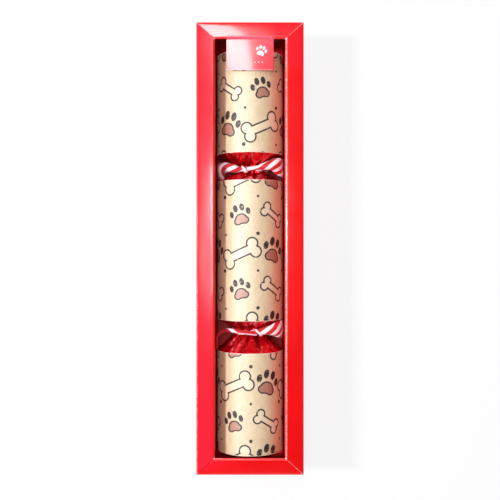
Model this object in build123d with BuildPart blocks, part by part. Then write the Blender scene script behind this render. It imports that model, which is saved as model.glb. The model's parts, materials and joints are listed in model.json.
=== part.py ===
"""A Christmas cracker lying in its window box, in millimetres.

The box lies on its back: X runs across it, Y along it to the head end, Z up out of the window.
The origin is on the underside of the tray, in the middle.
"""

import math
import os

from build123d import *

os.makedirs("parts", exist_ok=True)

# Box sizes
board = 0.9
frame_thickness = 1.6
side_rail = 15.0
end_rail = 13.8
skirt_depth = 22.0
fold_radius = 1.0
score_width = 0.5
score_depth = 0.3
glue_flap = 10.0

# Cracker sizes
cracker_diameter = 56.0
barrel_length = 116.0
end_length = 83.7
head_neck = 22.5
head_throat = 10.0
foot_neck = 26.5
foot_throat = 10.2
throat_radius = 14.0
pleat_depth = 3.2
pleat_count = 24
kraft = 0.35
foil = 0.2
tube_wall = 0.8
foil_hem = 12.0

# Ribbon sizes
band_width = 5.0
band_thickness = 1.0
tail_root = 5.0
tail_flare = 13.0
tail_thickness = 0.6
knot_width = 11.0
knot_height = 4.5

# Label sizes
label_width = 38.5
label_length = 25.0
label_thickness = 0.8
bead_radius = 0.3

# Snap sizes
strip_width = 9.0
strip_thickness = 0.6
snap_overlap = 44.0
charge_length = 12.0
charge_thickness = 0.3
sleeve_length = 30.0
sleeve_wall = 0.3
snap_height = 3.0
pad_length = 20.0
strip_run = 34.0

# Contents sizes
chew_length = 64.0
chew_lobe = 6.5
chew_shank = 9.0
chew_thickness = 11.0
hat_length = 84.0
hat_width = 30.0
hat_thickness = 2.4
hat_points = 6
hat_notch = 5.0
slip_length = 46.0
slip_radius = 3.6
slip_paper = 0.8

# Clearances, and the draw of each end before the foil tears
lid_play = 0.3
seat_gap = 0.3
crest_gap = 1.2
cradle_play = 0.75
glue_line = 0.06
tie_gap = 0.25
crease_gap = 0.1
draw = 10.0
foot_gap = 2.4
head_slack = 7.1

# The box follows from the cracker it holds
cracker_length = barrel_length + head_neck + foot_neck + 2 * end_length
tray_inside = cracker_length + 2 * (draw + foot_gap) + head_slack
tray_length = tray_inside + 2 * board
box_length = tray_length + 2 * (lid_play + board)
bed_half = cracker_diameter / 2 + cradle_play
window_width = 2 * bed_half
window_length = box_length - 2 * end_rail
box_width = window_width + 2 * side_rail
tray_width = box_width - 2 * (lid_play + board)

# Heights from the floor up
cradle_top = board + board
axis_height = cradle_top + seat_gap + cracker_diameter / 2
frame_underside = axis_height + cracker_diameter / 2 + crest_gap
box_height = frame_underside + frame_thickness

# Radii of the cracker's layers, from the outside in
wrap_outer = cracker_diameter / 2
wrap_inner = wrap_outer - kraft
foil_outer = wrap_inner - glue_line
chord_loss = foil_outer * (1 - math.cos(math.pi / (2 * pleat_count)))
tube_outer = foil_outer - foil - chord_loss - glue_line
tube_inner = tube_outer - tube_wall

# Places along the cracker, from its foot to its head
foot_end = draw + foot_gap - tray_inside / 2
foot_rim = foot_end + end_length
barrel_foot = foot_rim + foot_neck
barrel_head = barrel_foot + barrel_length
head_rim = barrel_head + head_neck
head_end = head_rim + end_length
barrel_middle = (barrel_foot + barrel_head) / 2
foot_tie = barrel_foot - foot_throat
head_tie = barrel_head + head_throat
collar = band_width + 2 * tie_gap
strip_spacing = charge_thickness + 2 * glue_line


def across(y):
    """A plane square to the cracker, facing the head, with its axis at the origin."""
    return Plane(origin=(0, y, axis_height), x_dir=(-1, 0, 0), z_dir=(0, 1, 0))


def lengthwise():
    """A plane along the cracker: its first direction is Y, its second is Z."""
    return Plane(origin=(0, 0, axis_height), x_dir=(0, 1, 0), z_dir=(1, 0, 0))


def finish(builder, label):
    """Name a part and write its file."""
    builder.part.label = label
    export_step(builder.part, f"parts/{label}.step")


def tube(label, start, end, outer, inner):
    """A round tube on the cracker's axis."""
    with BuildPart() as ring:
        with BuildSketch(across(start)):
            Circle(outer)
            Circle(inner, mode=Mode.SUBTRACT)
        extrude(amount=end - start)
    finish(ring, label)


def pleat_outline(ridge, valley):
    """The corners of a pleated section, ridge and valley in turn."""
    step = math.pi / pleat_count
    radii = [ridge, valley] * pleat_count
    return [(r * math.cos(i * step), r * math.sin(i * step)) for i, r in enumerate(radii)]


def foil_shell(label, stations):
    """A foil sleeve through stations given as place, ridge radius and valley radius."""
    with BuildPart() as shell:
        for inset, mode in ((0, Mode.ADD), (foil, Mode.SUBTRACT)):
            for place, ridge, valley in stations:
                with BuildSketch(across(place)):
                    Polygon(*pleat_outline(ridge - inset, valley - inset), align=None)
            loft(ruled=True, mode=mode)
    finish(shell, label)


def foil_neck(label, hem_end, rim, tie, tie_side):
    """Half a neck: the hem under the wrap, the pleated cone and the collar under the ribbon."""
    throat = tie + tie_side * collar / 2
    meet = tie + tie_side * crease_gap / 2
    valley = throat_radius - pleat_depth
    foil_shell(
        label,
        [
            (hem_end, foil_outer, foil_outer),
            (rim, foil_outer, foil_outer),
            (throat, throat_radius, valley),
            (meet, throat_radius, valley),
        ],
    )


def ribbon(label, tie):
    """A band round the throat with a knot in front and a flaring tail to each side."""
    inner = throat_radius + tie_gap
    outer = inner + band_thickness
    reach = wrap_outer - tail_thickness
    knot_base = inner + band_thickness / 4
    tail_height = knot_base + 0.45 * knot_height
    with BuildPart() as tied:
        # Tails that leave the knot and turn down beside the neck
        for side in (-1, 1):
            with BuildSketch(across(tie - tail_flare / 2)):
                with BuildLine():
                    FilletPolyline(
                        (0, tail_height),
                        (side * reach * 0.55, tail_height + reach * 0.08),
                        (side * reach * 0.88, tail_height - reach * 0.18),
                        (side * reach * 0.96, tail_height - reach * 0.6),
                        radius=reach * 0.15,
                    )
                    offset(amount=tail_thickness / 2, side=Side.BOTH)
                make_face()
            extrude(amount=tail_flare)
        # Plan of the tails, narrow at the knot and wide at the ends
        with BuildSketch(Plane.XY):
            with Locations((0, tie)):
                Polygon(
                    (0, tail_root / 2),
                    (wrap_outer, tail_flare / 2),
                    (wrap_outer, -tail_flare / 2),
                    (0, -tail_root / 2),
                    (-wrap_outer, -tail_flare / 2),
                    (-wrap_outer, tail_flare / 2),
                    align=None,
                )
        extrude(amount=box_height, mode=Mode.INTERSECT)
        # Band round the throat
        with BuildSketch(across(tie - band_width / 2)):
            Circle(outer)
            Circle(inner, mode=Mode.SUBTRACT)
        extrude(amount=band_width)
        # Knot on the window side
        with BuildSketch(Plane.XY.offset(axis_height + knot_base)):
            with Locations((0, tie)):
                RectangleRounded(knot_width, band_width, band_width / 4)
        extrude(amount=knot_height)
        knot_top = (0, tie, axis_height + knot_base + knot_height)
        knot_face = tied.faces().filter_by(Axis.Z).sort_by_distance(knot_top)[0]
        fillet(knot_face.outer_wire().edges(), knot_height / 5)
    finish(tied, label)


def snap_strip(label, heading, rim, level):
    """A card strip from the middle of the barrel, through a neck, to the end tube's wall."""
    half = strip_thickness / 2
    wall = math.sqrt((tube_inner - glue_line) ** 2 - (strip_width / 2) ** 2)
    floor = half - wall
    height = snap_height + level * (half + strip_spacing / 2)
    path = [
        (barrel_middle - heading * snap_overlap / 2, height),
        (rim - heading * collar, height),
        (rim + heading * strip_run, floor),
        (rim + heading * (strip_run + pad_length), floor),
    ]
    above = [(y, z + half) for y, z in path]
    below = [(y, z - half) for y, z in reversed(path)]
    with BuildPart() as strip:
        with BuildSketch(lengthwise()):
            Polygon(*above, *below, align=None)
        extrude(amount=strip_width / 2, both=True)
    finish(strip, label)


# Tray, with the corner flaps glued inside its end walls
with BuildPart() as tray:
    with BuildSketch(Plane.XY):
        Rectangle(tray_width, tray_length)
    extrude(amount=frame_underside)
    with BuildSketch(Plane.XY.offset(board)):
        Rectangle(tray_width - 2 * board, tray_length - 2 * board)
    extrude(amount=frame_underside - board, mode=Mode.SUBTRACT)
    with BuildSketch(Plane.XY.offset(board)):
        with GridLocations(tray_width - 2 * board - glue_flap, tray_length - 3 * board, 2, 2):
            Rectangle(glue_flap, board)
    extrude(amount=frame_underside - 3 * board)
finish(tray, "tray")

# Cradle, one folded strip: ledge, wall, bed, wall, ledge
ledge_half = tray_width / 2 - board - lid_play
ledge_top = frame_underside - seat_gap
cradle_length = tray_length - 4 * board - 2 * lid_play
with BuildPart() as cradle:
    with BuildSketch(Plane.XZ.offset(-cradle_length / 2)):
        with BuildLine():
            Polyline(
                (-ledge_half, ledge_top),
                (-bed_half, ledge_top),
                (-bed_half, cradle_top),
                (bed_half, cradle_top),
                (bed_half, ledge_top),
                (ledge_half, ledge_top),
                (ledge_half, ledge_top - board),
                (bed_half + board, ledge_top - board),
                (bed_half + board, board),
                (-bed_half - board, board),
                (-bed_half - board, ledge_top - board),
                (-ledge_half, ledge_top - board),
                close=True,
            )
        make_face()
    extrude(amount=cradle_length)
finish(cradle, "cradle")

# Lid, a frame with mitre scores, rounded folds and a skirt
with BuildPart() as lid:
    with BuildSketch(Plane.XY.offset(frame_underside - skirt_depth)):
        Rectangle(box_width, box_length)
    extrude(amount=skirt_depth + frame_thickness)
    with BuildSketch(Plane.XY.offset(frame_underside - skirt_depth)):
        Rectangle(box_width - 2 * board, box_length - 2 * board)
    extrude(amount=skirt_depth, mode=Mode.SUBTRACT)
    with BuildSketch(Plane.XY.offset(frame_underside)):
        Rectangle(window_width, window_length)
    extrude(amount=frame_thickness, mode=Mode.SUBTRACT)
    fillet(lid.faces().sort_by(Axis.Z)[-1].edges(), min(fold_radius, frame_thickness / 2))
    # Mitre scores from each outer corner to the window
    score_length = math.hypot(side_rail, end_rail)
    score_angle = math.degrees(math.atan2(end_rail, side_rail))
    with BuildSketch(Plane.XY.offset(box_height - score_depth)):
        for side in (-1, 1):
            for end in (-1, 1):
                middle = (side * (box_width - side_rail) / 2, end * (box_length - end_rail) / 2)
                with Locations(middle):
                    Rectangle(score_length, score_width, rotation=side * end * score_angle)
    extrude(amount=score_depth, mode=Mode.SUBTRACT)
finish(lid, "lid")

# Label tab, with the crease bead it turns on
crease_y = window_length / 2 - bead_radius - crease_gap
crease_z = box_height
with BuildPart() as label_tab:
    with BuildSketch(Plane.YZ):
        with Locations((crease_y - label_length / 2, crease_z - label_thickness / 2)):
            Rectangle(label_length, label_thickness)
        with Locations((crease_y, crease_z)):
            Circle(bead_radius)
    extrude(amount=label_width / 2, both=True)
finish(label_tab, "label_tab")

# Card tubes and kraft wraps
tube("barrel_tube", barrel_foot, barrel_head, tube_outer, tube_inner)
tube("barrel_wrap", barrel_foot, barrel_head, wrap_outer, wrap_inner)
tube("head_tube", head_rim, head_end, tube_outer, tube_inner)
tube("head_wrap", head_rim, head_end, wrap_outer, wrap_inner)
tube("foot_tube", foot_end, foot_rim, tube_outer, tube_inner)
tube("foot_wrap", foot_end, foot_rim, wrap_outer, wrap_inner)

# Foil under the wraps, gathered at the two necks
foil_shell(
    "barrel_foil",
    [
        (barrel_foot + foil_hem + crease_gap, foil_outer, foil_outer),
        (barrel_head - foil_hem - crease_gap, foil_outer, foil_outer),
    ],
)
foil_neck("head_neck_inner", barrel_head - foil_hem, barrel_head, head_tie, -1)
foil_neck("head_neck_outer", head_end, head_rim, head_tie, 1)
foil_neck("foot_neck_inner", barrel_foot + foil_hem, barrel_foot, foot_tie, 1)
foil_neck("foot_neck_outer", foot_end, foot_rim, foot_tie, -1)

# Ribbons tied round the necks
ribbon("head_ribbon", head_tie)
ribbon("foot_ribbon", foot_tie)

# Snap: two strips that overlap in the barrel, the charge between them and a sleeve round them
snap_strip("head_strip", 1, head_rim, 1)
snap_strip("foot_strip", -1, foot_rim, -1)
with BuildPart() as charge:
    with Locations((0, barrel_middle, axis_height + snap_height)):
        Box(strip_width, charge_length, charge_thickness)
finish(charge, "charge")
sleeve_bore = strip_width + 2 * glue_line
sleeve_slot = 2 * strip_thickness + strip_spacing + 2 * glue_line
with BuildPart() as sleeve:
    with BuildSketch(across(barrel_middle - sleeve_length / 2)):
        with Locations((0, snap_height)):
            Rectangle(sleeve_bore + 2 * sleeve_wall, sleeve_slot + 2 * sleeve_wall)
            Rectangle(sleeve_bore, sleeve_slot, mode=Mode.SUBTRACT)
    extrude(amount=sleeve_length)
finish(sleeve, "snap_sleeve")

# Dog chew at the bottom of the barrel
lobe_place = (chew_shank + chew_lobe) / 2
chew_half = lobe_place + chew_lobe
chew_bottom = axis_height - math.sqrt((tube_inner - seat_gap) ** 2 - chew_half**2)
with BuildPart() as chew:
    with BuildSketch(Plane.XY.offset(chew_bottom)):
        with Locations((0, barrel_middle)):
            Rectangle(chew_shank, chew_length - 2 * chew_lobe)
            with GridLocations(2 * lobe_place, chew_length - 2 * chew_lobe, 2, 2):
                Circle(chew_lobe)
    extrude(amount=chew_thickness)
    fillet(chew.faces().sort_by(Axis.Z)[-1].outer_wire().edges(), chew_thickness / 6)
finish(chew, "chew")

# Folded paper hat lying on the chew
hat_bottom = chew_bottom + chew_thickness + seat_gap
point_pitch = hat_length / hat_points
hat_start = barrel_middle - hat_length / 2
hat_edge = [(-hat_width / 2, hat_start)]
for point in range(hat_points):
    hat_edge.append((hat_width / 2 - hat_notch, hat_start + point * point_pitch))
    hat_edge.append((hat_width / 2, hat_start + (point + 0.5) * point_pitch))
hat_edge.append((hat_width / 2 - hat_notch, hat_start + hat_length))
hat_edge.append((-hat_width / 2, hat_start + hat_length))
with BuildPart() as hat:
    with BuildSketch(Plane.XY.offset(hat_bottom)):
        Polygon(*hat_edge, align=None)
    extrude(amount=hat_thickness)
finish(hat, "paper_hat")

# Rolled motto slip lying on the hat
slip_height = hat_bottom + hat_thickness + seat_gap + slip_radius - axis_height
with BuildPart() as slip:
    with BuildSketch(across(barrel_middle - slip_length / 2)):
        with Locations((hat_width / 4, slip_height)):
            Circle(slip_radius)
            Circle(slip_radius - slip_paper, mode=Mode.SUBTRACT)
    extrude(amount=slip_length)
finish(slip, "motto_slip")
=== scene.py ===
import json
import math
import random

import bmesh
import bpy
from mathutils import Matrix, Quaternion, Vector, noise


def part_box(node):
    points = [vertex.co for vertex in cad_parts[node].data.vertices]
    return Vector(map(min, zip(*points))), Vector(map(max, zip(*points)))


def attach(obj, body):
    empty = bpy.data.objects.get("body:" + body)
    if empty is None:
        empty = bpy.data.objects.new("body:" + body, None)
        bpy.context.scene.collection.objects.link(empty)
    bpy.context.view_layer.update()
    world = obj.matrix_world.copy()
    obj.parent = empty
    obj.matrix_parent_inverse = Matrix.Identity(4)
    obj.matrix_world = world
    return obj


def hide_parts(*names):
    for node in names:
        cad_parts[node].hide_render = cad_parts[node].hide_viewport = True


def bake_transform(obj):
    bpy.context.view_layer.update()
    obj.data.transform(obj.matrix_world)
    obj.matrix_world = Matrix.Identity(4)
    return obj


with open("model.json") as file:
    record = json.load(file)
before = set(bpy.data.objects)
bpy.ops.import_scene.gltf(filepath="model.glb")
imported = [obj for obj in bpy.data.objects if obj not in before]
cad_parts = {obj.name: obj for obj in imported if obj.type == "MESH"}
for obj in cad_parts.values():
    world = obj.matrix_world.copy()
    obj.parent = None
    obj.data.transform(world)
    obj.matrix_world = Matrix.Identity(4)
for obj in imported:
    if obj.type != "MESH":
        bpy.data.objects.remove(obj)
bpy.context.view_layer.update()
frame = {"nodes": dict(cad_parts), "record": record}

# A millimetre in metres: places and sizes below are in millimetres
MM = 0.001


def span(node, axis):
    """Lowest and highest place of a node along an axis, in millimetres."""
    low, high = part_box(node)
    return low[axis] / MM, high[axis] / MM


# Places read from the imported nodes
BARREL_FOOT, BARREL_HEAD = span("barrel_wrap", 1)
HEAD_RIM, HEAD_END = span("head_wrap", 1)
FOOT_END, FOOT_RIM = span("foot_wrap", 1)
HEAD_TIE = sum(span("head_ribbon", 1)) / 2
FOOT_TIE = sum(span("foot_ribbon", 1)) / 2
WRAP_LOW, WRAP_HIGH = span("barrel_wrap", 2)
AXIS = (WRAP_LOW + WRAP_HIGH) / 2
WRAP_R = (WRAP_HIGH - WRAP_LOW) / 2
SKIRT_Z, LID_Z = span("lid", 2)
BOX_X = span("lid", 0)[1]
BOX_Y = span("lid", 1)[1]
LABEL_LOW, LABEL_HIGH = span("label_tab", 1)
LABEL_X = span("label_tab", 0)[1]
LABEL_TOP = span("label_tab", 2)[1]

# Sizes of the lid's rails and card
SIDE_RAIL = 15.0
END_RAIL = 13.8
FRAME_T = 1.6
BOARD = 0.9
WINDOW_X = BOX_X - SIDE_RAIL
WINDOW_Y = BOX_Y - END_RAIL


# Node helpers
class Field:
    """A value that varies over a surface, built from Math nodes."""

    def __init__(self, tree, socket):
        self.tree = tree
        self.socket = socket

    def do(self, kind, *others):
        node = self.tree.nodes.new("ShaderNodeMath")
        node.operation = kind
        for place, other in enumerate((self, *others)):
            if isinstance(other, Field):
                self.tree.links.new(other.socket, node.inputs[place])
            else:
                node.inputs[place].default_value = other
        return Field(self.tree, node.outputs[0])

    def __add__(self, other):
        return self.do("ADD", other)

    def __sub__(self, other):
        return self.do("SUBTRACT", other)

    def __rsub__(self, other):
        return self * -1.0 + other

    def __mul__(self, other):
        return self.do("MULTIPLY", other)

    def __truediv__(self, other):
        return self.do("DIVIDE", other)

    def least(self, other):
        return self.do("MINIMUM", other)

    def most(self, other):
        return self.do("MAXIMUM", other)

    def size(self):
        return self.do("ABSOLUTE")

    def root(self):
        return self.do("SQRT")

    def folded(self, pitch, centre):
        """Distance from the nearest of a row of centres."""
        return (self - (centre - pitch / 2)).do("FLOORED_MODULO", pitch) - pitch / 2

    def mapped(self, low, high, start=0.0, end=1.0, kind="LINEAR"):
        """A ramp from start at low to end at high, level beyond them."""
        node = self.tree.nodes.new("ShaderNodeMapRange")
        node.interpolation_type = kind
        self.tree.links.new(self.socket, node.inputs["Value"])
        for key, value in (("From Min", low), ("From Max", high), ("To Min", start), ("To Max", end)):
            node.inputs[key].default_value = value
        return Field(self.tree, node.outputs["Result"])

    def step(self, low, high):
        """A soft step from 0 at low to 1 at high."""
        return self.mapped(low, high, kind="SMOOTHSTEP")


def union(fields):
    """The strongest of several fields at each place."""
    first, *others = fields
    for other in others:
        first = first.most(other)
    return first


class Paint:
    """A Principled material and the nodes that feed it."""

    def __init__(self, name, **values):
        self.material = bpy.data.materials.new(name)
        self.material.use_nodes = True
        self.tree = self.material.node_tree
        self.shader = self.tree.nodes["Principled BSDF"]
        for key, value in values.items():
            self.shader.inputs[key.replace("_", " ")].default_value = value

    def coords(self):
        return self.tree.nodes.new("ShaderNodeTexCoord").outputs["Object"]

    def uv(self, name):
        node = self.tree.nodes.new("ShaderNodeUVMap")
        node.uv_map = name
        parts = self.tree.nodes.new("ShaderNodeSeparateXYZ")
        self.tree.links.new(node.outputs[0], parts.inputs[0])
        return Field(self.tree, parts.outputs[0]), Field(self.tree, parts.outputs[1])

    def axes(self):
        parts = self.tree.nodes.new("ShaderNodeSeparateXYZ")
        self.tree.links.new(self.coords(), parts.inputs[0])
        return [Field(self.tree, out) for out in parts.outputs]

    def attribute(self, name):
        node = self.tree.nodes.new("ShaderNodeAttribute")
        node.attribute_name = name
        return Field(self.tree, node.outputs["Fac"])

    def noise(self, scale, detail=3.0, stretch=None, distortion=0.0):
        node = self.tree.nodes.new("ShaderNodeTexNoise")
        node.inputs["Scale"].default_value = scale
        node.inputs["Detail"].default_value = detail
        node.inputs["Distortion"].default_value = distortion
        source = self.coords()
        if stretch:
            mapping = self.tree.nodes.new("ShaderNodeMapping")
            mapping.inputs["Scale"].default_value = stretch
            self.tree.links.new(source, mapping.inputs["Vector"])
            source = mapping.outputs[0]
        self.tree.links.new(source, node.inputs["Vector"])
        return Field(self.tree, node.outputs["Fac"])

    def ramp(self, field, *stops):
        node = self.tree.nodes.new("ShaderNodeValToRGB")
        points = node.color_ramp.elements
        while len(points) < len(stops):
            points.new(0.5)
        for point, (place, colour) in zip(points, stops):
            point.position = place
            point.color = (*colour, 1)
        self.tree.links.new(field.socket, node.inputs[0])
        return node.outputs[0]

    def mix(self, field, first, second):
        node = self.tree.nodes.new("ShaderNodeMix")
        node.data_type = "RGBA"
        self.tree.links.new(field.socket, node.inputs[0])
        for place, colour in ((6, first), (7, second)):
            if isinstance(colour, tuple):
                node.inputs[place].default_value = (*colour, 1)
            else:
                self.tree.links.new(colour, node.inputs[place])
        return node.outputs[2]

    def set(self, name, source):
        socket = source.socket if isinstance(source, Field) else source
        self.tree.links.new(socket, self.shader.inputs[name])

    def bump(self, field, distance, strength=1.0):
        node = self.tree.nodes.new("ShaderNodeBump")
        node.inputs["Distance"].default_value = distance
        node.inputs["Strength"].default_value = strength
        self.tree.links.new(field.socket, node.inputs["Height"])
        self.tree.links.new(node.outputs[0], self.shader.inputs["Normal"])


def srgb(*values):
    """A colour given as it shows on screen, from 0 to 255, as linear light."""
    shares = [v / 255 for v in values]
    return tuple(s / 12.92 if s <= 0.04045 else ((s + 0.055) / 1.055) ** 2.4 for s in shares)


# Glossy red board
BOARD_RED = srgb(238, 12, 15)


def red_board(name, colour, roughness, coat):
    """A board's paint, with its colour and roughness for further layers."""
    paint = Paint(name, Coat_Weight=coat, Coat_Roughness=0.06, IOR=1.48)
    deep = tuple(c * 0.86 for c in colour)
    base = paint.mix(paint.noise(14, 4).step(0.3, 0.7), colour, deep)
    rough = paint.noise(60, 3) * 0.1 + roughness
    paint.set("Base Color", base)
    paint.set("Roughness", rough)
    paint.bump(paint.noise(420, 3) * 0.3 + paint.noise(26, 1), 0.00006, 0.3)
    return paint, base, rough


def lid_board():
    """The same board, worn pale at creases and painted pale as a highlight along two folds, with
    painted shade in one mitre's groove, a glued fold and dull rolled edges.
    """
    coat = 0.55
    paint, base, rough = red_board("red_board", BOARD_RED, 0.12, coat)
    # Pale marks: worn card at the creases, mitres and tips, and a painted highlight along the right
    # rail's inner fold and the left rail's outer fold
    wear_and_highlight = (paint.attribute("wear_and_highlight") * (paint.noise(900, 3) + 0.45)).step(0.38, 0.72)
    glued = paint.attribute("fold").step(0.3, 0.7) * (paint.noise(14, 4) * 0.5 + 0.6)
    dull = paint.attribute("dull").most(glued)
    # Painted shade in one mitre's groove, dark red
    base = paint.mix(paint.attribute("gap_shade").step(0.35, 0.8), base, srgb(92, 4, 10))
    base = paint.mix(glued, base, srgb(214, 78, 108))
    paint.set("Base Color", paint.mix(wear_and_highlight, base, srgb(247, 214, 214)))
    paint.set("Roughness", rough.most(wear_and_highlight * 0.7).most(dull * 0.5))
    paint.set("Coat Weight", (1.0 - dull) * coat)
    return paint.material


RED_BOARD = lid_board()
RED_TRAY = red_board("red_tray", BOARD_RED, 0.3, 0.2)[0].material
# The cradle is the same red card, painted a darker red as shade inside the box
RED_INSIDE_SHADED = red_board("red_inside_shaded", srgb(208, 8, 14), 0.36, 0.15)[0].material


# Shapes of the printed motifs, as distances in millimetres
def turned(u, v, degrees, scale):
    c, s = math.cos(math.radians(degrees)) / scale, math.sin(math.radians(degrees)) / scale
    return u * c + v * s, v * c - u * s


def apart(p, q):
    """Distance of a place from the origin."""
    return (p * p + q * q).root()


def ellipse(u, v, x, y, a, b):
    return (apart((u - x) / a, (v - y) / b) - 1.0) * min(a, b)


def bone(u, v):
    """A straight shank with two round knobs at each end."""
    shank_half, shank_r = 9.5, 3.1
    knob_u, knob_v, knob_r = 11.0, 3.3, 4.1
    shank = apart((u.size() - shank_half).most(0.0), v) - shank_r
    return shank.least(apart(u.size() - knob_u, v.size() - knob_v) - knob_r)


def paw(u, v):
    """Four toes, and a pad of three rounds: centre and half sizes of each ellipse."""
    side = u.size()
    toes = ellipse(side, v, 3.4, 8.2, 2.5, 3.7).least(ellipse(side, v, 8.7, 3.4, 2.3, 3.3))
    pad = ellipse(u, v, 0.0, -2.6, 5.6, 4.6).least(ellipse(side, v, 3.6, -4.6, 3.6, 3.2))
    return toes, pad


# Label card: glossy red card, bare but for a small pale paw and a row of dots
def label_card():
    paw_x, paw_y, paw_turn, paw_scale = 9.0, 2.4, -18, 0.42
    dots_x, dots_drop, dots_pitch, dot_r = 7.0, 6.2, 3.0, 0.5
    paint = Paint("label_card", Coat_Weight=0.85, Coat_Roughness=0.07, IOR=1.48)
    u, v = paint.uv("flat")
    toes, pad = paw(*turned(u - paw_x, v - paw_y, paw_turn, paw_scale))
    mark = toes.least(pad).step(0.25, -0.25)
    along = u - dots_x
    dots = (apart(along.folded(dots_pitch, 0.0), v + dots_drop) - dot_r).step(0.14, -0.14)
    row = dots * along.size().step(4.6, 4.2)
    base = paint.mix(paint.noise(40, 4), srgb(232, 16, 44), srgb(214, 12, 36))
    worn = (paint.attribute("wear_and_highlight") * (paint.noise(800, 3) + 0.5)).step(0.4, 0.7)
    inked = paint.mix(mark.most(row), base, srgb(250, 226, 226))
    paint.set("Base Color", paint.mix(worn, inked, srgb(250, 216, 216)))
    paint.set("Roughness", paint.noise(70, 3) * 0.1 + 0.18)
    paint.bump(paint.noise(400, 4) * 0.4 + paint.noise(45, 2), 0.00005, 0.3)
    return paint.material


LABEL_CARD = label_card()


# Kraft paper with a loose print of bones, paw prints and dots
def kraft_print(name, shift):
    """Paper whose print is shifted round the tube and along it, in millimetres."""
    paint = Paint(name, IOR=1.5, Coat_Roughness=0.55, Coat_IOR=2.0)
    flat_u, flat_v = paint.uv("flat")
    u, v = flat_u + shift[0], flat_v + shift[1]
    pitch_u, pitch_v = 2 * math.pi * WRAP_R / 3, 61.0
    ink, cream, rust = [], [], []

    def place(x, y):
        """Distances from the nearest place at these shares of the print's repeat."""
        return u.folded(pitch_u, x * pitch_u), v.folded(pitch_v, y * pitch_v)

    # Outlined bones, large and small
    for x, y, turn, scale in ((0.0, 0.0, 24, 1.12), (0.5, 0.52, -32, 0.82)):
        reach = bone(*turned(*place(x, y), turn, scale)) * scale
        ink.append(reach.size().step(0.82, 0.5))
        cream.append(reach.step(0.2, -0.2))
    # Paw prints with rust pads and dark toes
    for x, y, turn, scale in ((0.5, 0.02, -16, 1.0), (0.0, 0.5, 14, 0.84)):
        toes, pad = paw(*turned(*place(x, y), turn, scale))
        ink.append(toes.step(0.15, -0.15))
        ink.append((pad * scale).size().step(0.72, 0.42))
        rust.append(pad.step(0.15, -0.15))
    # Small dots between them
    for x, y, r in ((0.25, 0.27, 1.5), (0.76, 0.25, 1.1), (0.25, 0.77, 1.1), (0.74, 0.76, 1.6)):
        ink.append((apart(*place(x, y)) - r).step(0.15, -0.15))
    fibre = paint.noise(260, 5, (1, 0.5, 1)) * 0.5 + paint.noise(700, 4) * 0.5
    base = paint.ramp(
        fibre, (0.3, srgb(209, 182, 138)), (0.52, srgb(221, 196, 154)), (0.75, srgb(230, 208, 170))
    )
    worn = paint.noise(500, 4)
    base = paint.mix(union(cream) * 0.55, base, srgb(238, 219, 186))
    base = paint.mix(union(rust) * 0.85, base, srgb(158, 84, 62))
    printed = union(ink) * worn.step(0.2, 0.42)
    base = paint.mix(printed, base, srgb(36, 20, 17))
    paint.set("Coat Weight", 1.0 - printed * 0.7)
    edge = paint.attribute("edge")
    paint.set("Base Color", paint.mix(edge, base, srgb(240, 228, 208)))
    paint.set("Roughness", paint.noise(90, 3) * 0.16 + 0.5)
    paint.bump(fibre, 0.00004, 0.35)
    return paint.material


# Glossy metallic foil, with painted shade in the creases between its pleats
def red_foil():
    paint = Paint("red_foil", Metallic=0.7, Coat_Weight=0.7, Coat_Roughness=0.08)
    folds = paint.noise(110, 1.5, distortion=0.8)
    base = paint.ramp(folds, (0.3, srgb(222, 9, 26)), (0.7, srgb(246, 20, 38)))
    # Painted shade: the foil is darkened in the pleats' creases
    paint.set("Base Color", paint.mix(paint.attribute("crease"), base, srgb(112, 0, 16)))
    paint.set("Roughness", paint.noise(120, 3) * 0.14 + 0.16)
    paint.bump(folds, 0.0002, 0.15)
    return paint.material


# Satin ribbon with slanting stripes
def striped_ribbon():
    paint = Paint("striped_ribbon", Sheen_Weight=0.25, IOR=1.45)
    u, v = paint.uv("flat")
    stripe = (v * 0.6 - u * 0.8).folded(6.8, 0.0).size()
    weave = (u * 18.0).do("SINE") * 0.5 + (v * 18.0).do("SINE") * 0.5
    red = paint.mix(paint.noise(300, 3), srgb(214, 12, 32), srgb(192, 8, 24))
    white = paint.mix(paint.noise(200, 3), srgb(253, 249, 249), srgb(240, 232, 235))
    paint.set("Base Color", paint.mix(stripe.step(1.7, 1.9), red, white))
    paint.set("Roughness", weave * 0.08 + 0.46)
    paint.bump(weave, 0.00005, 0.3)
    return paint.material


RED_FOIL = red_foil()
STRIPED = striped_ribbon()


# Spiral-wound tube card
def tube_card():
    paint = Paint("tube_card", Roughness=0.85)
    x, y, z = paint.axes()
    turn = (z - AXIS * MM).do("ARCTAN2", x)
    winding = 0.07
    seam = (turn * (winding / (2 * math.pi)) + y).folded(winding, 0.0).size()
    fibre = paint.noise(500, 5)
    base = paint.ramp(fibre, (0.3, srgb(206, 190, 166)), (0.7, srgb(230, 218, 198)))
    groove = seam.step(0.0012, 0.0004)
    paint.set("Base Color", paint.mix(groove, base, srgb(170, 150, 124)))
    paint.bump(fibre * 0.4 - groove, 0.0001, 0.5)
    return paint.material


def plain_paper(name, light, dark, scale, roughness, bump=0.00006):
    paint = Paint(name)
    fibre = paint.noise(scale, 5)
    paint.set("Base Color", paint.ramp(fibre, (0.3, dark), (0.7, light)))
    paint.set("Roughness", fibre * 0.15 + roughness)
    paint.bump(fibre, bump, 0.5)
    return paint.material


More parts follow.
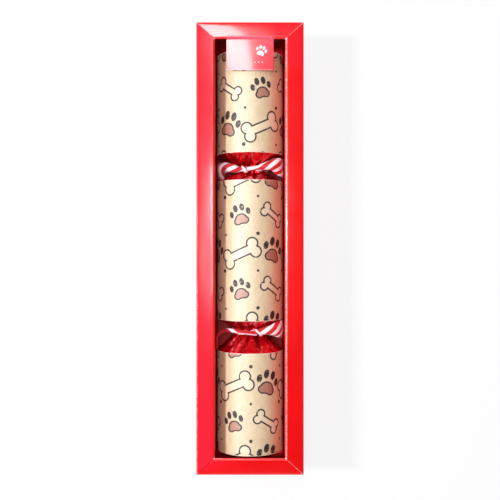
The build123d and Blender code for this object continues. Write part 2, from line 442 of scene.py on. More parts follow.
node_paint = {
    "tube_card": tube_card(),
    "snap_card": plain_paper("snap_card", srgb(212, 196, 166), srgb(190, 170, 138), 600, 0.75),
    "snap_paper": plain_paper("snap_paper", srgb(238, 234, 222), srgb(222, 216, 200), 500, 0.8),
    "charge_mix": plain_paper(
        "charge_mix", srgb(110, 104, 100), srgb(70, 66, 64), 1500, 0.9, 0.0002
    ),
    "tissue": plain_paper("tissue", srgb(214, 40, 52), srgb(190, 26, 40), 220, 0.7, 0.0001),
    "slip_paper": plain_paper("slip_paper", srgb(248, 246, 240), srgb(236, 232, 222), 400, 0.8),
    "rawhide": plain_paper("rawhide", srgb(232, 208, 164), srgb(206, 174, 124), 160, 0.5, 0.0002),
    "red_foil": RED_FOIL,
}
slot_of = {s["node"]: s["material_slot"] for s in frame["record"]["subparts"]}
for node, solid in frame["nodes"].items():
    if slot_of[node] in node_paint:
        solid.data.materials.clear()
        solid.data.materials.append(node_paint[slot_of[node]])


# Mesh helpers, which merge points nearer than this, in metres
MERGE = 1e-6


def add(name, data):
    """A new object in the scene."""
    obj = bpy.data.objects.new(name, data)
    bpy.context.scene.collection.objects.link(obj)
    return obj


def build(name, points, faces, material, flat=None, marks=None, sharp=None):
    """A mesh object from points in millimetres, with a flat map and per-point marks."""
    mesh = bpy.data.meshes.new(name)
    mesh.from_pydata([Vector(p) * MM for p in points], [], faces)
    if flat:
        layer = mesh.uv_layers.new(name="flat")
        for loop in mesh.loops:
            layer.data[loop.index].uv = flat[loop.vertex_index]
    for key, values in (marks or {}).items():
        mesh.attributes.new(key, "FLOAT", "POINT").data.foreach_set("value", values)
    mesh.materials.append(material)
    mesh.polygons.foreach_set("use_smooth", [True] * len(mesh.polygons))
    if sharp:
        mesh.set_sharp_from_angle(angle=math.radians(sharp))
    return add(name, mesh)


def grid_faces(rows, columns, offset=0, closed=False):
    """Quads of a grid stored row by row, closed round its columns if asked."""
    faces = []
    for i in range(rows - 1):
        for j in range(columns if closed else columns - 1):
            k = (j + 1) % columns
            a, b = offset + i * columns, offset + (i + 1) * columns
            faces.append((a + j, a + k, b + k, b + j))
    return faces


def sheet_rim(rows, columns):
    """Points round the edge of a grid stored row by row, in order."""
    return (
        list(range(columns))
        + [i * columns + columns - 1 for i in range(1, rows)]
        + [(rows - 1) * columns + j for j in range(columns - 2, -1, -1)]
        + [i * columns for i in range(rows - 2, 0, -1)]
    )


# Lid: a folded frame with mitred corners, swept round the window
LID_CORNERS = ((1, -1), (1, 1), (-1, 1), (-1, -1))
HEAD_RAIL, LEFT_RAIL = 1, 2
LID_UNDER = LID_Z - FRAME_T
# Height above which the card faces up, and down to which the label's fold is glued
FACE_Z = LID_UNDER + 0.3
FOLD_Z = LID_UNDER + 0.1
OUTER_FOLD = 1.1
INNER_FOLD = FRAME_T / 2
# Inner edge of a rail: distance out from the window and drop below the rail
INNER_ROLL = ((1.7, 0.0), (1.45, 0.03), (1.25, 0.1), (0.4, 0.44), (0.12, 0.6))
ROLL_START = INNER_ROLL[0][0]
ROLL_HOLD = 0.2
# Crown of the right, head, left and foot rails in turn, which rises with distance from a mitre
RAIL_CROWN = (0.03, 0.1, 0.03, 0.1)
CROWN_RISE = 20
RAIL_TILT = 0.25
RIPPLE, RIPPLE_PACE = 0.1, 0.02
MITRE_GROOVE = 0.32
# Distances from a mitre at which its sections lie
MITRE_PLACES = (0, 0.35, 0.9, 3, 8)
LABEL_SLIVER = 0.15
# Wear and lost gloss, from 0 to 1, for the inner edges with the rails in the same order; on the right
# rail the inner value paints a highlight along the fold
HEM_WEAR, SKIRT_WEAR, FOLD_WEAR, TIP_WEAR = 0.5, 0.12, 0.3, 1.0
INNER_WEAR_AND_HIGHLIGHT = (0.54, 0.3, 0.22, 0.31)
INNER_DULL = (0.7, 0.5, 0.85, 0.75)
WEAR_AND_HIGHLIGHT_DROP = (0.05, 0.5)
# A painted highlight along the left rail's outer fold towards the foot, and the gloss lost there
LEFT_EDGE_HIGHLIGHT, LEFT_EDGE_DULL = 0.46, 0.7
LEFT_HIGHLIGHT_END = -20
MITRE_WEAR = {(1, 1): 1.0, (-1, 1): 0.75, (1, -1): 0.95, (-1, -1): 0.3}
# The mitre whose groove gets painted shade
SHADED_MITRE = (-1, -1)
TIP_LENGTH, TIP_REACH = 0.5, 1.0
LID_SHARP = 40


def lid_profile():
    """Section of the lid from the skirt's hem over the rail to the window and back underneath.

    Each point has its share of the rail's width, distance added to that, height, share of the
    rail's crown, and wear.
    """
    profile = []
    skirt_steps, fold_steps, rail_steps, roll_steps = 4, 5, 8, 8

    def point(share, extra, z, crown=0.0, wear_and_highlight=0.0):
        profile.append((share, extra, z, crown, wear_and_highlight))

    point(1, 0, SKIRT_Z, 0, HEM_WEAR)
    for k in range(1, skirt_steps + 1):
        point(1, 0, SKIRT_Z + (LID_Z - OUTER_FOLD - SKIRT_Z) * k / skirt_steps, 0, SKIRT_WEAR)
    for k in range(1, fold_steps + 1):
        a = math.pi / 2 * k / fold_steps
        inward, down = OUTER_FOLD * (1 - math.cos(a)), OUTER_FOLD * (1 - math.sin(a))
        point(1, -inward, LID_Z - down, 0, FOLD_WEAR)
    for k in range(1, rail_steps):
        q = k / rail_steps
        point(1 - q, -OUTER_FOLD * (1 - q) + ROLL_START * q, LID_Z, math.sin(math.pi * q), 0)
    # A ring just before the roll keeps the rail flat up to its fold
    point(0, ROLL_START + ROLL_HOLD, LID_Z)
    for extra, drop in INNER_ROLL:
        point(0, extra, LID_Z - drop, 0, FOLD_WEAR)
    for k in range(roll_steps // 2, roll_steps + 1):
        a = math.pi * k / roll_steps
        outward, down = INNER_FOLD * (1 - math.sin(a)), INNER_FOLD * (1 - math.cos(a))
        point(0, outward, LID_Z - down, 0, FOLD_WEAR)
    point(0.5, 0, LID_UNDER)
    point(1, -BOARD, LID_UNDER)
    point(1, -BOARD, SKIRT_Z, 0, HEM_WEAR)
    return profile


def rail_places(side, length):
    """Shares of a rail's length at which its section is placed, close together at the mitres."""
    short = side % 2
    steps, margin, width = (10, 0.14, 0.72) if short else (36, 0.03, 0.94)
    corner = [s / length for s in MITRE_PLACES]
    middle = [margin + width * k / steps for k in range(steps + 1)]
    if short:
        # Two more on each side, close to where the label's glued fold starts and ends
        reach, slivers = 2 * (WINDOW_X + INNER_FOLD), (-LABEL_SLIVER, LABEL_SLIVER)
        edges = [0.5 + s * (LABEL_X + d) / reach for s in (-1, 1) for d in slivers]
        middle = sorted(middle + edges)
    return corner + middle + [1 - p for p in reversed(corner)]


def make_lid():
    profile = lid_profile()
    points, faces, wear_and_highlight, gap_shade, fold, dull = [], [], [], [], [], []
    for side in range(4):
        first, last = LID_CORNERS[side], LID_CORNERS[(side + 1) % 4]
        (ax, ay), (bx, by) = first, last
        length = 2 * (BOX_X if side % 2 else BOX_Y)
        places = rail_places(side, length)
        faces += grid_faces(len(places), len(profile), len(points), closed=True)
        for place in places:
            seam = place in (0, 1)
            near = min(place, 1 - place) * length
            corner = first if place < 0.5 else last
            for share, extra, z, crown, mark in profile:
                x = (WINDOW_X + SIDE_RAIL * share + extra) * (ax + (bx - ax) * place)
                y = (WINDOW_Y + END_RAIL * share + extra) * (ay + (by - ay) * place)
                facing = z > FACE_Z
                groove = MITRE_GROOVE if seam and facing and share > 0 else 0.0
                swell = crown * RAIL_CROWN[side] * min(1.0, near / CROWN_RISE)
                if facing:
                    swell += RAIL_TILT - 2 * RAIL_TILT * share
                ripple = RIPPLE * noise.noise(Vector((x, y, 0)) * RIPPLE_PACE) * crown
                points.append((x, y, z + swell + ripple - groove))
                # Wear along the folds, at the mitres and on the tips at their inner ends, and a
                # painted highlight along the right rail's inner fold and the left rail's outer fold
                # towards the foot
                if share == 0 and WEAR_AND_HIGHLIGHT_DROP[0] < LID_Z - z < WEAR_AND_HIGHLIGHT_DROP[1]:
                    mark = INNER_WEAR_AND_HIGHLIGHT[side]
                left_edge = side == LEFT_RAIL and share == 1
                if left_edge and z > LID_Z - OUTER_FOLD / 2 and y < LEFT_HIGHLIGHT_END:
                    mark = LEFT_EDGE_HIGHLIGHT
                if groove:
                    mark = MITRE_WEAR[corner]
                elif near < TIP_LENGTH and share == 0 and extra < TIP_REACH and facing:
                    mark = TIP_WEAR
                wear_and_highlight.append(mark)
                # Painted shade along the groove of one mitre
                gap_shade.append(1.0 if groove and corner == SHADED_MITRE else 0.0)
                glued = side == HEAD_RAIL and abs(x) < LABEL_X and share == 0 and z > FOLD_Z
                fold.append(1.0 if glued else 0.0)
                # Gloss is lost on the rolled edges
                if share == 0 and facing and extra <= ROLL_START:
                    dull.append(INNER_DULL[side])
                elif left_edge and z > LID_Z - OUTER_FOLD:
                    dull.append(LEFT_EDGE_DULL)
                else:
                    dull.append(0.0)
    marks = {"wear_and_highlight": wear_and_highlight, "gap_shade": gap_shade, "fold": fold, "dull": dull}
    lid = build("lid_card", points, faces, RED_BOARD, marks=marks)
    # Join the four rails at the mitres
    joined = bmesh.new()
    joined.from_mesh(lid.data)
    bmesh.ops.remove_doubles(joined, verts=joined.verts, dist=MERGE)
    bmesh.ops.recalc_face_normals(joined, faces=joined.faces)
    joined.to_mesh(lid.data)
    joined.free()
    lid.data.set_sharp_from_angle(angle=math.radians(LID_SHARP))
    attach(lid, "lid")
    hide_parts("lid")


make_lid()


# Tray and cradle: the solids' panels with rounded folds
def soft_folds(node, name, body, width, material):
    """The node's own panels, with every fold rounded to a width."""
    flat_angle, sharp_angle = math.radians(2), math.radians(50)
    mesh = bpy.data.meshes.new(name)
    folded = bmesh.new()
    folded.from_mesh(frame["nodes"][node].data)
    bmesh.ops.remove_doubles(folded, verts=folded.verts, dist=MERGE)
    bmesh.ops.dissolve_limit(
        folded, angle_limit=flat_angle, verts=folded.verts, edges=folded.edges
    )
    bmesh.ops.bevel(
        folded,
        geom=list(folded.edges),
        offset=width * MM,
        segments=3,
        profile=0.5,
        affect="EDGES",
        clamp_overlap=True,
    )
    folded.to_mesh(mesh)
    folded.free()
    mesh.materials.clear()
    mesh.materials.append(material)
    mesh.polygons.foreach_set("use_smooth", [True] * len(mesh.polygons))
    mesh.polygons.foreach_set("material_index", [0] * len(mesh.polygons))
    mesh.set_sharp_from_angle(angle=sharp_angle)
    obj = add(name, mesh)
    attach(obj, body)
    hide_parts(node)


CARD_FOLD = 0.3
soft_folds("tray", "tray_card", "box", CARD_FOLD, RED_TRAY)
soft_folds("cradle", "cradle_card", "box", CARD_FOLD, RED_INSIDE_SHADED)


# Label tab: a slightly bowed card with a rolled crease
def make_label():
    margin = 0.3
    top, crease = LABEL_TOP - margin, LABEL_HIGH - margin
    length = LABEL_HIGH - LABEL_LOW - margin
    middle = (LABEL_HIGH + LABEL_LOW) / 2
    thick, chamfer, crease_chamfer = 0.4, 0.22, 0.2
    bow_across, bow_along = 0.25, 0.1
    rim_start, rim_wear, tip_wear = 0.985, 0.48, 0.7
    roll_r, roll_inset, roll_wear = 0.28, 0.1, 0.45
    rows, columns, turns = 30, 34, 12
    size = rows * columns
    points, faces, flat, wear_and_highlight = [], [], [], []
    for layer in (0, 1):
        inset = chamfer if layer == 0 else 0.0
        for i in range(rows):
            v = i / (rows - 1)
            for j in range(columns):
                u = 2 * j / (columns - 1) - 1
                x = u * (LABEL_X - inset)
                y = crease - inset * (1 if v > 0.5 else crease_chamfer) - v * (length - inset)
                bow = bow_across * (1 - u * u) * v - bow_along * v * v
                rim = max(abs(u), abs(2 * v - 1)) > rim_start
                points.append((x, y, top + bow - (0.0 if layer == 0 else thick)))
                flat.append((x, y - middle))
                wear_and_highlight.append(tip_wear if v > rim_start else rim_wear if rim else 0.0)
        layer_faces = grid_faces(rows, columns, layer * size)
        faces += layer_faces if layer == 0 else [tuple(reversed(f)) for f in layer_faces]
    ring = sheet_rim(rows, columns)
    for a, b in zip(ring, ring[1:] + ring[:1]):
        faces.append((a, b, b + size, a + size))
    # Crease roll along the window's edge
    start = len(points)
    for end in (-1, 1):
        for j in range(turns):
            a = 2 * math.pi * j / turns
            y, z = crease + roll_r * math.cos(a), top + roll_r * math.sin(a)
            points.append((end * (LABEL_X - roll_inset), y, z))
            flat.append((0, 0))
            wear_and_highlight.append(roll_wear)
    faces += grid_faces(2, turns, start, closed=True)
    label = build("label_card", points, faces, LABEL_CARD, flat, {"wear_and_highlight": wear_and_highlight}, sharp=40)
    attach(label, "label")
    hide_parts("label_tab")


make_label()


# Kraft wraps: a sheet wound once round with a glued overlap underneath
WRAP_T = 0.3
WRAP_CLEARANCE = 0.05
WRAP_LAP = 8.0
WRAP_SEAM = math.radians(-135)
WRAP_CUT = 0.22


def make_wrap(name, node, body, low, high, shift, seed, cut=WRAP_CUT):
    """A wrap between two places along the axis.

    Its print is shifted, a seed makes it uneven, and the bare cut at its high end has a width.
    """
    inner = WRAP_R - WRAP_T - WRAP_CLEARANCE
    ease, end_share = 0.12, 0.04
    wave_size, wave_pace, wave_run = 0.16, 2.2, 3
    dent_size, dent_pace, dent_run = 0.09, 1.6, 0.05
    past_cut, shoulder, inset, slack, squeeze = 0.12, 1.2, 2.6, 0.03, 0.06
    turns, count = 200, 40
    # Rows lie close together at both ends, where the cut edge is bare of print
    places = [low + d for d in (0.0, WRAP_CUT, WRAP_CUT + past_cut, shoulder)]
    places += [low + inset + (high - low - 2 * inset) * k / (count - 1) for k in range(count)]
    places += [high - d for d in (shoulder, cut + past_cut, cut, 0.0)]
    round_once = 2 * math.pi
    angles = [WRAP_SEAM + (round_once + WRAP_LAP / WRAP_R) * k / turns for k in range(turns + 1)]
    rows, width = len(places), len(angles)
    size = rows * width
    points, flat, edge = [], [], []
    for layer in (0, 1):
        for place in places:
            v = (place - low) / (high - low)
            end = max(0.0, abs(2 * v - 1) - (1 - end_share)) / end_share
            bare = place - low < WRAP_CUT + slack or high - place < cut + slack
            for a in angles:
                c, s = math.cos(a), math.sin(a)
                lapped = min(1.0, max(0.0, (a - WRAP_SEAM - round_once + ease) / ease))
                lift = lapped * (WRAP_T + WRAP_CLEARANCE)
                spot = Vector((c * wave_pace, s * wave_pace, seed + v * wave_run))
                wave = wave_size * noise.noise(spot)
                spot = Vector((c * dent_pace, place * dent_run, s * dent_pace + seed))
                dent = dent_size * noise.noise(spot)
                r = inner + lift + dent + (WRAP_T if layer == 0 else 0.0) - squeeze * end
                points.append((c * r, place + wave * end, AXIS + s * r))
                flat.append(((a - math.pi / 2) * -WRAP_R, place))
                edge.append(1.0 if layer == 1 or bare else 0.0)
    faces = [tuple(reversed(f)) for f in grid_faces(rows, width)] + grid_faces(rows, width, size)
    rim = sheet_rim(rows, width)
    # The cut edge has points of its own, so that its pale core doesn't bleed into the print
    start = len(points)
    for k in rim:
        for layer in (0, 1):
            points.append(points[k + layer * size])
            flat.append(flat[k])
            edge.append(1.0)
    for k in range(len(rim)):
        a, b = start + 2 * k, start + 2 * ((k + 1) % len(rim))
        faces.append((a, b, b + 1, a + 1))
    kraft = kraft_print("kraft_" + name, shift)
    wrap = build(name, points, faces, kraft, flat, {"edge": edge}, sharp=50)
    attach(wrap, body)
    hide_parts(node)


make_wrap("barrel_paper", "barrel_wrap", "barrel", BARREL_FOOT, BARREL_HEAD, (8, 4), 1.0)
# The head wrap's pale bare edge is drawn wider than the others: bare paper, and also a painted
# highlight where light catches its rim
make_wrap("head_paper", "head_wrap", "head", HEAD_RIM, HEAD_END, (-10, 22), 4.0, 0.5)
make_wrap("foot_paper", "foot_wrap", "foot", FOOT_END, FOOT_RIM, (14, -9), 7.0)


# Foil necks: gathered pleats from the tube's rim to the throat
def pleats(seed, count):
    """Irregular folds round a neck: start angle, width, height and peak of each."""
    pick = random.Random(seed)
    widths = [pick.uniform(0.5, 1.7) for _ in range(count)]
    total = sum(widths)
    folds, angle = [], 0.0
    for width in widths:
        share = width / total * 2 * math.pi
        lean = pick.uniform(0.16, 0.36)
        folds.append((angle, share, pick.uniform(0.6, 1.25), pick.choice((lean, 1 - lean))))
        angle += share
    return folds


def pleat_height(folds, angle):
    """Height of the folds at an angle, each of which leans to one side."""
    angle %= 2 * math.pi
    for start, width, height, peak in folds:
        if angle <= start + width:
            x = (angle - start) / width
            x = x / peak if x < peak else (1 - x) / (1 - peak)
            return height * x * (1.25 - 0.25 * x)
    return 0.0


FOIL_HEM = 12.0
FOIL_DEPTH = 0.52
FOIL_INSET = 0.3
COLLAR = 5.5
NECK_RIDGE, NECK_VALLEY = 14.1, 10.6
HEM_ROWS, NECK_ROWS, COLLAR_ROWS = 3, 33, 6
NECK_COLUMNS = 420
COARSE_PLEATS, FINE_PLEATS = 15, 27


def make_neck(name, node, a, hem, rim, tie, seed, twist):
    """A neck from its hem under the wrap over the rim to the tie.

    The seed picks its pleats, which twist by an angle on their way to the throat.
    """
    side = 1 if tie > rim else -1
    throat = tie - side * COLLAR / 2
    outer = WRAP_R - FOIL_DEPTH
    coarse, fine = pleats(seed, COARSE_PLEATS), pleats(seed + 50, FINE_PLEATS)
    taper, dip, slack, rim_share = 1.12, 0.9, 0.2, 0.02
    pleat_depth, pleat_swell = 0.95, 0.55
    fine_height, fine_end, fine_turn, fine_push = 0.12, 1.15, 0.4, 0.35
    crumple_pace, crumple_level, crumple_height, crumple_push = 0.16, 0.2, 0.2, 0.4
    # Width and fade of the painted shade in the pleats' creases
    crease_shade_width, crease_shade_fade = 1.7, 1.5
    # Each row's place and how far it is from the rim, 0, to the throat, 1
    rows = [(hem + (rim - hem) * k / HEM_ROWS, 0.0) for k in range(HEM_ROWS + 1)]
    for k in range(1, NECK_ROWS + 1):
        q = k / NECK_ROWS
        rows.append((rim + (throat - rim) * q, q))
    for k in range(1, COLLAR_ROWS + 1):
        rows.append((throat + (tie - throat) * k / COLLAR_ROWS, 1.0))
    points, crease = [], []
    for y, q in rows:
        body = NECK_VALLEY + (outer - NECK_VALLEY) * (1 - q) ** taper
        gather, belly = q**0.5, math.sin(math.pi * q)
        fine_share = math.sin(math.pi * min(1, q * fine_end))
        for j in range(NECK_COLUMNS):
            t = 2 * math.pi * j / NECK_COLUMNS
            c, s = math.cos(t), math.sin(t)
            height = pleat_height(coarse, t + twist * q * q)
            fold = height * gather * (1.0 + pleat_swell * belly)
            small = pleat_height(fine, t + fine_turn) * fine_share * fine_height
            r = body + fold * (NECK_RIDGE - NECK_VALLEY) * pleat_depth - dip * belly + small
            spot = Vector((c * r, y, s * r)) * crumple_pace + Vector((seed, 0, 0))
            crumple = (abs(noise.noise(spot)) - crumple_level) * belly
            r = min(r + crumple * crumple_height, outer if q < rim_share else outer + slack)
            push = side * crumple * crumple_push + side * small * fine_push
            points.append((c * r, y + push * (1 if 0 < q < 1 else 0), AXIS + s * r))
            # How much painted shade each point gets, deepest in the creases toward the throat
            crease.append(gather * max(0.0, 1 - crease_shade_width * height) ** crease_shade_fade)
    faces = grid_faces(len(rows), NECK_COLUMNS, closed=True)
    if side > 0:
        faces = [tuple(reversed(f)) for f in faces]
    neck = build(name, points, faces, RED_FOIL, marks={"crease": crease}, sharp=30)
    start, end = (throat, rim) if a in ("head_tie", "foot_tie") else (rim, throat)
    start * MM
    end * MM
    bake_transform(neck)
    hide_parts(node)


make_neck(
    "head_gather_inner", "head_neck_inner", "barrel",
    BARREL_HEAD - FOIL_HEM, BARREL_HEAD, HEAD_TIE, 11, 0.16,
)
make_neck(
    "head_gather_outer", "head_neck_outer", "head_tie",
    HEAD_END - FOIL_INSET, HEAD_RIM, HEAD_TIE, 12, -0.2,
)
make_neck(
    "foot_gather_inner", "foot_neck_inner", "barrel",
    BARREL_FOOT + FOIL_HEM, BARREL_FOOT, FOOT_TIE, 13, -0.15,
)
make_neck(
    "foot_gather_outer", "foot_neck_outer", "foot_tie",
    FOOT_END + FOIL_INSET, FOOT_RIM, FOOT_TIE, 14, 0.2,
)


# Ribbons: flat strips bunched at the knot and spreading into tails
RIBBON_HALF = 7.5
RIBBON_COLUMNS = 61
RIBBON_T = 0.2
BAND_R = 15.5
BAND_START, BAND_SWEEP, BAND_STEPS = 100, 340, 24
BAND_WOBBLE, BAND_SWAY = 0.12, 0.3


def eased(a, b, c, d, t):
    """A Catmull-Rom curve at a share t of the way from b to c."""
    square, cube = 2 * a - 5 * b + 4 * c - d, 3 * b - a - 3 * c + d
    return 0.5 * (2 * b + (c - a) * t + square * t * t + cube * t**3)


def smooth_through(rows, steps):
    """Rows of numbers with a smooth curve's steps between them."""
    out = []
    padded = [rows[0]] + rows + [rows[-1]]
    for k in range(1, len(padded) - 2):
        for i in range(steps):
            out.append([eased(*near, i / steps) for near in zip(*padded[k - 1 : k + 3])])
    out.append(list(rows[-1]))
    return out


def rolled(reach, way, share):
    """Turn of a ribbon's section at a reach from its middle, when a share of it is rolled under."""
    # The roll's radius shrinks from start at the middle to end at the edge
    start, end = (1.75, 1.15) if way > 0 else (1.45, 0.9)
    shrink = (start - end) / RIBBON_HALF
    return share * math.log(start / (start - shrink * reach)) / shrink


def folded_flat(reach, way, share):
    """Turn of a ribbon's section that is pleated into flat layers, two panels wide each."""
    panel, bend, full_turn = 1.5, 0.3, math.radians(174)
    layer = (reach + panel) / (2 * panel)
    over = (layer % 2 - 1) / bend if layer < 2 else 1 - (layer - 2) / bend
    return full_turn * min(1.0, max(0.0, over))


def strip(points, faces, flat, sections, tie, start, side=1, section=rolled, steps=9):
    """Add a ribbon strip, which keeps its full width however narrow it is bunched.

    Each row has the centre, the direction across, the share rolled under and the print's pace.
    """
    rows = smooth_through([list(s) for s in sections], steps)
    base = len(points)
    length = start
    step = 2 * RIBBON_HALF / (RIBBON_COLUMNS - 1)
    middle = RIBBON_COLUMNS // 2
    for k, row in enumerate(rows):
        centre, share, pace = Vector(row[:3]), max(0.0, row[6]), row[7]
        ahead = Vector(rows[min(k + 1, len(rows) - 1)][:3]) - Vector(rows[max(k - 1, 0)][:3])
        normal = (ahead.cross(Vector(row[3:6])) * side).normalized()
        wide = normal.cross(ahead).normalized() * side
        if k:
            length += (centre - Vector(rows[k - 1][:3])).length * pace
        line = [None] * RIBBON_COLUMNS
        for way in (-1, 1):
            spot = centre.copy()
            for j in range(middle + 1):
                line[middle + way * j] = (spot.copy(), way * j * step)
                angle = section((j + 0.5) * step, way, share)
                spot += wide * way * math.cos(angle) * step - normal * math.sin(angle) * step
        for spot, reach in line:
            points.append((spot.x, tie + spot.y, AXIS + spot.z))
            flat.append((reach, side * length))
    faces += grid_faces(len(rows), RIBBON_COLUMNS, base)


def make_ribbon(name, node, body, tie, left, right, knot, starts):
    """A ribbon of four strips, the band round the neck, two tails and the knot.

    Each strip has its own start along the print.
    """
    points, faces, flat, band = [], [], [], []
    for k in range(BAND_STEPS + 1):
        a = math.radians(BAND_START + BAND_SWEEP * k / BAND_STEPS)
        r = BAND_R + BAND_WOBBLE * math.sin(3 * a)
        centre = (r * math.cos(a), BAND_SWAY * math.sin(2 * a), r * math.sin(a))
        band.append((*centre, 0.0, 1.0, 0.0, 1.0, 1.0))
    strip(points, faces, flat, band, tie, starts[0], side=-1, section=folded_flat, steps=4)
    strip(points, faces, flat, left, tie, starts[1], side=-1)
    strip(points, faces, flat, right, tie, starts[2])
    strip(points, faces, flat, knot, tie, starts[3], side=-1)
    ribbon = build(name, points, faces, STRIPED, flat)
    thickness = ribbon.modifiers.new("thickness", "SOLIDIFY")
    thickness.thickness = RIBBON_T * MM
    thickness.offset = 0.0
    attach(ribbon, body)
    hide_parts(node)
    return ribbon


# Rows of each strip: centre, direction across, share rolled under, pace of the print
head_left = [
    (5.0, 0.4, 16.6, 0.0, 1.0, 0.2, 1.0, 0.5),
    (0.0, -0.4, 17.2, 0.1, 1.0, 0.1, 1.0, 0.5),
    (-6.0, -1.0, 17.8, 0.1, 1.0, 0.2, 0.9, 0.6),
    (-11.2, -1.1, 18.6, 0.1, 1.0, 0.2, 0.5, 1.0),
    (-17.0, -0.1, 19.0, 0.1, 1.0, 0.2, 0.4, 1.0),
    (-22.2, 0.0, 17.8, 0.0, 1.0, 0.3, 0.34, 1.0),
    (-25.8, -1.6, 13.6, -0.3, 1.0, 0.5, 0.28, 1.0),
    (-27.3, -3.2, 8.0, -0.2, 1.0, 0.6, 0.24, 1.0),
    (-27.6, -3.8, 1.5, 0.0, 1.0, 0.5, 0.24, 1.0),
]
head_right = [
    (-4.5, -0.2, 16.6, 0.0, 1.0, 0.2, 1.0, 0.3),
    (1.0, 0.0, 17.4, 0.1, 1.0, 0.1, 1.0, 0.3),
    (6.5, 0.6, 17.8, 0.0, 1.0, 0.2, 0.95, 0.3),
    (10.2, 1.1, 18.3, 0.0, 1.0, 0.2, 0.55, 0.8),
    (15.1, 1.7, 18.9, 0.0, 1.0, 0.2, 0.4, 1.0),
    (21.1, 2.1, 17.8, 0.1, 1.0, 0.2, 0.26, 1.0),
    (25.6, 1.8, 13.6, 0.1, 1.0, 0.1, 0.1, 1.0),
    (27.7, 1.4, 7.0, 0.0, 1.0, 0.0, 0.02, 1.0),
    (28.0, 1.2, 0.5, 0.0, 1.0, 0.0, 0.0, 1.0),
]
foot_left = [
    (6.0, -1.6, 17.0, 0.0, 1.0, 0.2, 1.0, 0.0),
    (1.0, -1.1, 17.8, 0.1, 1.0, 0.2, 1.0, 0.0),
    (-5.0, -0.4, 18.2, 0.2, 1.0, 0.3, 1.0, 0.0),
    (-9.5, 0.2, 18.2, 0.2, 1.0, 0.3, 1.0, 0.0),
    (-12.0, 0.6, 18.2, 0.2, 1.0, 0.3, 1.0, -0.9),
    (-16.0, 1.1, 17.8, 0.3, 1.0, 0.4, 1.1, -1.15),
    (-19.0, 1.3, 17.0, 0.3, 1.0, 0.6, 1.2, -0.45),
    (-22.4, 0.6, 15.6, -0.2, 1.0, 0.4, 1.3, 0.0),
    (-25.4, -1.8, 13.6, -0.7, 0.8, 0.3, 1.5, 0.0),
    (-27.2, -5.4, 11.6, -1.0, 0.3, 0.2, 1.6, 0.0),
    (-27.8, -10.4, 9.6, -1.0, 0.1, 0.1, 1.6, 0.0),
    (-27.9, -15.6, 8.2, -1.0, 0.0, 0.0, 1.6, 0.0),
]
foot_right = [
    (0.5, -0.4, 15.4, 0.0, 1.0, 0.2, 1.0, 0.4),
    (3.0, -0.3, 16.8, 0.1, 1.0, 0.1, 1.0, 0.4),
    (6.5, -0.2, 17.8, 0.1, 1.0, 0.2, 0.95, 0.5),
    (10.2, 0.3, 18.3, 0.0, 1.0, 0.2, 0.55, 0.9),
    (15.1, 0.6, 18.9, -0.1, 1.0, 0.2, 0.41, 1.0),
    (21.1, 1.0, 17.8, -0.1, 1.0, 0.2, 0.28, 1.0),
    (25.6, 1.9, 13.6, 0.0, 1.0, 0.1, 0.12, 1.0),
    (27.7, 2.0, 7.5, 0.0, 1.0, 0.0, 0.05, 1.0),
    (28.0, 2.0, 1.0, 0.0, 1.0, 0.0, 0.03, 1.0),
]
head_knot = [
    (-2.6, -3.2, 14.8, 1.0, 0.5, 0.0, 1.0, 0.6),
    (-3.0, -3.0, 17.6, 1.0, 0.6, 0.0, 1.0, 0.6),
    (-4.6, -0.6, 19.4, 1.0, 0.7, 0.0, 1.0, 0.6),
    (-6.2, 2.2, 18.0, 1.0, 0.6, 0.0, 1.0, 0.6),
    (-6.6, 2.6, 15.0, 1.0, 0.5, 0.0, 1.0, 0.6),
]
foot_knot = [
    (8.2, -3.2, 14.8, 1.0, -0.4, 0.0, 1.0, 0.6),
    (8.0, -3.0, 17.6, 1.0, -0.5, 0.0, 1.0, 0.6),
    (7.0, -0.4, 19.4, 1.0, -0.6, 0.0, 1.0, 0.6),
    (5.8, 2.4, 18.0, 1.0, -0.5, 0.0, 1.0, 0.6),
    (5.6, 2.8, 15.0, 1.0, -0.4, 0.0, 1.0, 0.6),
]
head_ribbon = make_ribbon(
    "head_ribbon_strip", "head_ribbon", "head_tie", HEAD_TIE,
    head_left, head_right, head_knot, (0, 2, 5, 3),
)
foot_ribbon = make_ribbon(
    "foot_ribbon_strip", "foot_ribbon", "foot_tie", FOOT_TIE,
    foot_left, foot_right, foot_knot, (3, 8.6, 10.2, 11.0),
)


# Floor, lamps, backdrop and camera, in metres
def seen_directly(tree):
    """1 for what the camera sees, also in a mirror or through glass, and 0 for other light."""
    rays = tree.nodes.new("ShaderNodeLightPath").outputs
    kinds = ("Is Camera Ray", "Is Glossy Ray", "Is Transmission Ray")
    return union([Field(tree, rays[kind]) for kind in kinds])


FLOOR_HALF = 3
FLOOR_GLOW = 0.82


def make_floor():
    mesh = bpy.data.meshes.new("floor")
    points = [(x * FLOOR_HALF, y * FLOOR_HALF, 0) for x, y in ((-1, -1), (1, -1), (1, 1), (-1, 1))]
    mesh.from_pydata(points, [], [(0, 1, 2, 3)])
    paint = Paint("floor", Base_Color=(0.86, 0.86, 0.86, 1), Roughness=0.9)
    tree = paint.tree
    glow = tree.nodes.new("ShaderNodeEmission")
    glow.inputs["Strength"].default_value = 1.0
    mix = tree.nodes.new("ShaderNodeMixShader")
    tree.links.new((seen_directly(tree) * FLOOR_GLOW).socket, mix.inputs[0])
    tree.links.new(paint.shader.outputs[0], mix.inputs[1])
    tree.links.new(glow.outputs[0], mix.inputs[2])
    tree.links.new(mix.outputs[0], tree.nodes["Material Output"].inputs["Surface"])
    mesh.materials.append(paint.material)
    add("floor", mesh)


CENTRE = (0, 0, 0.03)
WHITE, BLUE = (1, 1, 1), (0.15, 0.25, 1.0)


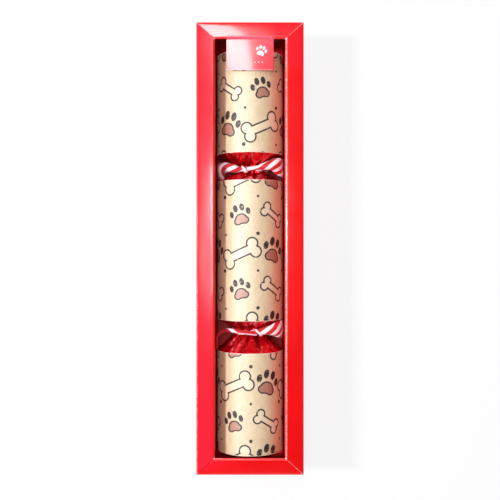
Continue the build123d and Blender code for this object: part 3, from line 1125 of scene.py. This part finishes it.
def lamp(name, place, size, watts, aim=None, tint=WHITE, turn=0.0):
    """A rectangular lamp, which shines straight down unless it is aimed."""
    light = bpy.data.lights.new(name, "AREA")
    light.shape = "RECTANGLE"
    light.color = tint
    light.size, light.size_y = size
    light.energy = watts
    obj = add(name, light)
    obj.location = place
    target = aim or (*place[:2], 0)
    facing = (Vector(target) - Vector(place)).to_track_quat("-Z", "X")
    obj.rotation_euler = (facing @ Quaternion((0, 0, 1), turn)).to_euler()


make_floor()
lamp("key", (-0.98, 0.06, 1.25), (0.18, 0.12), 18.4, CENTRE)
lamp("left_softbox", (-1.25, 0.1, 0.5), (0.45, 1.9), 3.5, (0, 0, 0.06))
lamp("head_strip", (-0.25, 1.5, 0.95), (0.2, 1.5), 2.5, CENTRE)
lamp("overhead", (-0.13, 0.05, 1.25), (0.06, 0.3), 1.6)
lamp("top_fill", (-0.01, 0.1, 1.25), (0.05, 0.4), 3)
lamp("glare_softbox", (-0.069, 0.53, 1.16), (0.112, 0.31), 2.0, turn=0.2)
lamp("left_panel", (-0.3, 0.05, 1.16), (0.45, 1.3), 1.2, tint=BLUE)
lamp("head_panel", (0.1, 0.62, 1.16), (0.5, 0.4), 0.2, tint=BLUE)
lamp("foot_fill", (0.2, -1.0, 1.3), (0.4, 0.9), 1.4, CENTRE)

AMBIENT, BACKDROP = 0.28, 0.72


def make_world():
    world = bpy.data.worlds.new("studio")
    bpy.context.scene.world = world
    world.use_nodes = True
    tree = world.node_tree
    backdrop = tree.nodes["Background"].inputs
    parts = tree.nodes.new("ShaderNodeSeparateXYZ")
    where = tree.nodes.new("ShaderNodeTexCoord")
    tree.links.new(where.outputs["Generated"], parts.inputs[0])
    x, z = Field(tree, parts.outputs[0]), Field(tree, parts.outputs[2])
    # Dim overhead, brighter to the left and towards the horizon
    glow = x.mapped(0.05, -0.6, 0.12, 1.0).most(z.mapped(0.92, 0.6))
    tree.links.new(glow.socket, backdrop["Color"])
    # A white backdrop up to the horizon's height for what is seen directly or mirrored
    strength = seen_directly(tree) * z.mapped(0.6, 0.3, 0.0, BACKDROP) + AMBIENT
    tree.links.new(strength.socket, backdrop["Strength"])


make_world()

# Straight above the window, as in the photograph, with its frame and focal length in pixels
PHOTO_PIXELS, FOCAL_PIXELS = 500, 752
SENSOR = 36
CAMERA_Y, CAMERA_RISE = -0.0012, 0.642
camera = add("camera", bpy.data.cameras.new("camera"))
camera.location = (0, CAMERA_Y, AXIS * MM + CAMERA_RISE)
camera.data.sensor_width = SENSOR
camera.data.lens = SENSOR * FOCAL_PIXELS / PHOTO_PIXELS
camera.data.clip_start = 0.01
bpy.context.scene.camera = camera
bpy.context.scene.view_settings.view_transform = "Standard"

bpy.context.view_layer.update()
